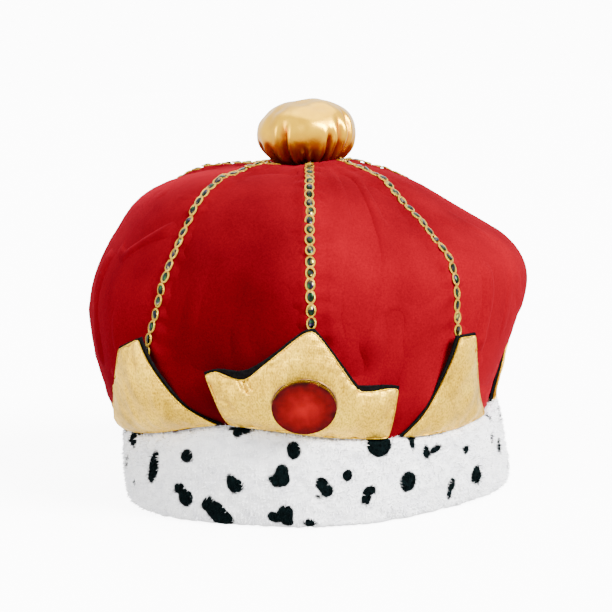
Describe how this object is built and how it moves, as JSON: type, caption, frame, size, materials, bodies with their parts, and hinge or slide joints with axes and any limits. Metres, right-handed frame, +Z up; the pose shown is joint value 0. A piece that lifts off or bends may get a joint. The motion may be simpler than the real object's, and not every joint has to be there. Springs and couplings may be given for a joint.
{
  "type": "costume crown hat",
  "caption": "Soft costume crown: puffy red velvet on a spotted plush cuff, with gold cloth points, sequin braid on the seams, a red stone and a gold ball on top.",
  "frame": {"origin": "on the table, at the centre of the hat seen from above", "axes": "+Z up, front point towards -Y, wearer's left towards +X"},
  "size_m": [0.2366, 0.2386, 0.2048],
  "materials": {
    "velvet": "matte",
    "plush": "matte",
    "gold_cloth": "satin",
    "gold_foil": "satin",
    "black_felt": "matte",
    "braid": "satin",
    "red_acrylic": "gloss"
  },
  "bodies": {
    "root": {"velvet_crown": "velvet", "ermine_cuff": "plush", "front_point": "gold_cloth", "front_point_back": "black_felt", "front_braid": "braid", "front_right_point": "gold_cloth", "front_right_point_back": "black_felt", "front_right_braid": "braid", "right_point": "gold_cloth", "right_point_back": "black_felt", "right_braid": "braid", "back_right_point": "gold_cloth", "back_right_point_back": "black_felt", "back_right_braid": "braid", "back_point": "gold_cloth", "back_point_back": "black_felt", "back_braid": "braid", "back_left_point": "gold_cloth", "back_left_point_back": "black_felt", "back_left_braid": "braid", "left_point": "gold_cloth", "left_point_back": "black_felt", "left_braid": "braid", "front_left_point": "gold_cloth", "front_left_point_back": "black_felt", "front_left_braid": "braid", "front_stone": "red_acrylic", "gold_ball": "gold_foil"}
  },
  "joints": []
}
